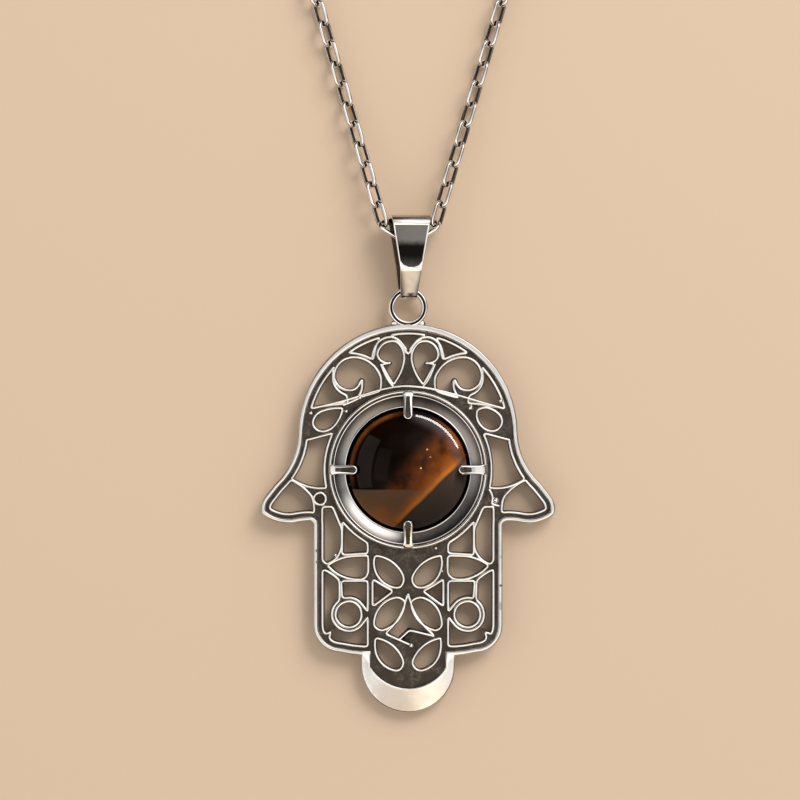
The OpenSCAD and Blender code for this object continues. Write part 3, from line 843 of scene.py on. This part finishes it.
def linkMesh():
    bm = bmesh.new()
    bend = (link["width"] - link["wire"]) / 2
    straight = link["length"] - link["width"]
    circle = bmesh.ops.create_circle(bm, radius=link["wire"] / 2 * mm, segments=link["sides"])["verts"]
    turnAbout(bm, circle, "X", math.pi / 2)
    move(bm, circle, bend)
    turnAbout(bm, circle, "Z", math.pi / link["steps"])
    spinRound(bm, (0, 0, 0), link["steps"])
    bmesh.ops.recalc_face_normals(bm, faces=bm.faces)
    for face in bm.faces:  # the inner side of a link is painted dark: painted shade where the links meet
        outward = face.normal.dot(face.calc_center_median().normalized())
        face.material_index = 1 if outward < link["darkOut"] else 0
    for v in bm.verts:
        v.co.x += math.copysign(straight / 2 * mm, v.co.x)
    data = bpy.data.meshes.new("link")
    bm.to_mesh(data)
    bm.free()
    return data


def looseParts(bm):  # the points of each loose solid in turn
    waiting = set(bm.verts)
    while waiting:
        part, edge = [], [waiting.pop()]
        while edge:
            v = edge.pop()
            part.append(v.co.copy())
            for e in v.link_edges:
                other = e.other_vert(v)
                if other in waiting:
                    waiting.remove(other)
                    edge.append(other)
        yield part


def makeChain():
    source = linkMesh()
    model = cadMesh("chain")
    chain = bmesh.new()
    for part in looseParts(model):
        points = numpy.array(part)
        centre = (points.max(0) + points.min(0)) / 2
        spread = numpy.linalg.svd(points - points.mean(0), full_matrices=False)[2]
        along, across = Vector(spread[0]), Vector(spread[1])
        turn = Matrix((along, across, along.cross(across))).transposed().to_4x4()
        before = len(chain.verts)
        chain.from_mesh(source)
        chain.verts.ensure_lookup_table()
        bmesh.ops.transform(chain, matrix=Matrix.Translation(centre) @ turn, verts=chain.verts[before:])
    model.free()
    piece = makePiece("cable_chain", chain, [polishedSilver, blackenedAndShade], smoothAll)
    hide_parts("chain")


makeChain()

# Clasp: the clasp of the model with softened edges
clasp = {"round": 0.05, "roundFrom": 40, "smoothAngle": 35, "flatFrom": 0.6}


def makeClasp():
    bm = cadFlats("clasp")
    roundEdges(bm, clasp["round"], clasp["roundFrom"])
    smoothAngle, flatFrom = clasp["smoothAngle"], clasp["flatFrom"]
    piece = makePiece("box_clasp", bm, [polishedSilver], smoothAngle, flatFrom)
    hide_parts("clasp")


makeClasp()

# Floor
floorLook = {"colour": (0.70, 0.545, 0.41), "roughness": 0.9, "size": 3000, "drop": 0.01}


def makeFloor():
    bm = bmesh.new()
    bmesh.ops.create_grid(bm, x_segments=1, y_segments=1, size=floorLook["size"] / 2 * mm)
    move(bm, bm.verts, z=-floorLook["drop"])
    floor = makeObject("floor", bm)
    material, place = newMaterial("pale_floor")
    finishMaterial(place, {"Base Color": colour(floorLook["colour"]), "Roughness": floorLook["roughness"]})
    floor.data.materials.append(material)


# World: what the silver mirrors, and the even light that all else gets; edges are elevations in degrees
world = {
    "tint": (1.0, 0.97, 0.935), "warm": (1.0, 0.82, 0.64), "warmFrom": (276, 41, 20, 40),
    "sky": 0.14, "skyEdges": (24.0, 48.0), "below": 0.2, "belowHeights": (-0.1, -0.7),  # sines of elevations
    "floorTint": (1.0, 0.95, 0.89), "floorLow": 1.15, "floorHigh": 0.35, "floorEdges": (30.0, 60.0),
    # azimuth, elevation, full within, nothing beyond, strength of each soft window
    "windows": [
        (0, 90, 6, 24, 0.8), (53, 46, 8, 34, 1.7), (180, 46, 6, 30, 0.75), (255, 62, 10, 28, 0.8),
        (291, 38, 8, 24, 0.8), (325, 58, 8, 30, 1.1), (110, 50, 4, 22, 0.5), (215, 45, 4, 26, 0.6),
        (80, -52, 6, 40, 0.6), (285, -70, 4, 26, 0.4),
    ],
}


def towards(azimuth, elevation):
    a, e = math.radians(azimuth), math.radians(elevation)
    return Vector((math.cos(a) * math.cos(e), math.sin(a) * math.cos(e), math.sin(e)))


def makeWorld():
    sky = bpy.data.worlds.new("studio")
    sky.use_nodes = True
    sky.node_tree.nodes.clear()
    start = Wire(sky.node_tree)
    way = start.node("ShaderNodeTexCoord", {}, {}, "Generated")
    height = way.axis("Z")

    def within(azimuth, elevation, inner, outer):  # 1 near that direction, 0 far from it
        sockets = {0: way, 1: towards(azimuth, elevation)}
        near = way.node("ShaderNodeVectorMath", {"operation": "DOT_PRODUCT"}, sockets, "Value")
        return near.step(math.cos(math.radians(outer)), math.cos(math.radians(inner)))

    def above(key):
        low, high = (math.sin(math.radians(angle)) for angle in world[key])
        return height.step(low, high)

    light = above("skyEdges") * world["sky"] + height.step(*world["belowHeights"]) * world["below"]
    for *window, strength in world["windows"]:
        light = light + within(*window) * strength
    tint = within(*world["warmFrom"]).mix(world["tint"], world["warm"])
    even = world["floorLow"] - above("floorEdges") * (world["floorLow"] - world["floorHigh"])
    glossy = start.node("ShaderNodeLightPath", {}, {}, "Is Glossy Ray")
    light = glossy * light + (1 - glossy) * even
    shade = start.node("ShaderNodeBackground", {}, {
        "Color": glossy.mix(world["floorTint"], tint), "Strength": light})
    start.node("ShaderNodeOutputWorld", {}, {"Surface": shade})
    scene.world = sky


# Lamps: azimuth and elevation in degrees, distance, width and height in m, power in W, tint,
# and whether the lamp lights the stone alone
lamps = {
    "key": (53, 33, 0.9, 0.5, 0.5, 5.6, (1.0, 0.95, 0.89), False),
    "window_pane": (170, 22.5, 0.6, 0.75, 0.28, 2.1, (1.0, 0.88, 0.76), True),
    "upper_pane": (169, 51, 0.6, 0.48, 0.22, 0.4, (1.0, 0.85, 0.7), True),
    "stone_arc": (52, 4.6, 0.5, 0.57, 0.036, 11.0, (1.0, 0.97, 0.95), True),
}


def makeLamp(name, azimuth, elevation, distance, width, height, power, tint, stoneOnly):
    data = bpy.data.lights.new(name, "AREA")
    data.shape = "RECTANGLE"
    data.size = width
    data.size_y = height
    data.energy = power
    data.color = tint
    lamp = bpy.data.objects.new(name, data)
    scene.collection.objects.link(lamp)
    way = towards(azimuth, elevation)
    lamp.location = way * distance
    lamp.rotation_euler = way.to_track_quat("Z", "Y").to_euler()
    lamp.visible_glossy = stoneOnly  # the key lights everything and is mirrored in nothing
    if stoneOnly:
        group = bpy.data.collections.new(name + "_only")
        group.objects.link(stone)
        lamp.light_linking.receiver_collection = group


# Camera: the middle of the picture and the width that it sees, its height and its sensor, in mm
view = {"centre": (-0.95, 8.24), "width": 94.9, "height": 500.0, "sensor": 36.0, "nearest": 10}


def makeCamera():
    data = bpy.data.cameras.new("camera")
    data.sensor_width = view["sensor"]
    data.lens = view["sensor"] * view["height"] / view["width"]
    data.clip_start = view["nearest"] * mm
    camera = bpy.data.objects.new("camera", data)
    camera.location = (view["centre"][0] * mm, view["centre"][1] * mm, view["height"] * mm)
    scene.collection.objects.link(camera)
    scene.camera = camera


makeFloor()
makeWorld()
for name, values in lamps.items():
    makeLamp(name, *values)
makeCamera()
scene.view_settings.view_transform = "Standard"
print("floor, world, lamps and camera made")
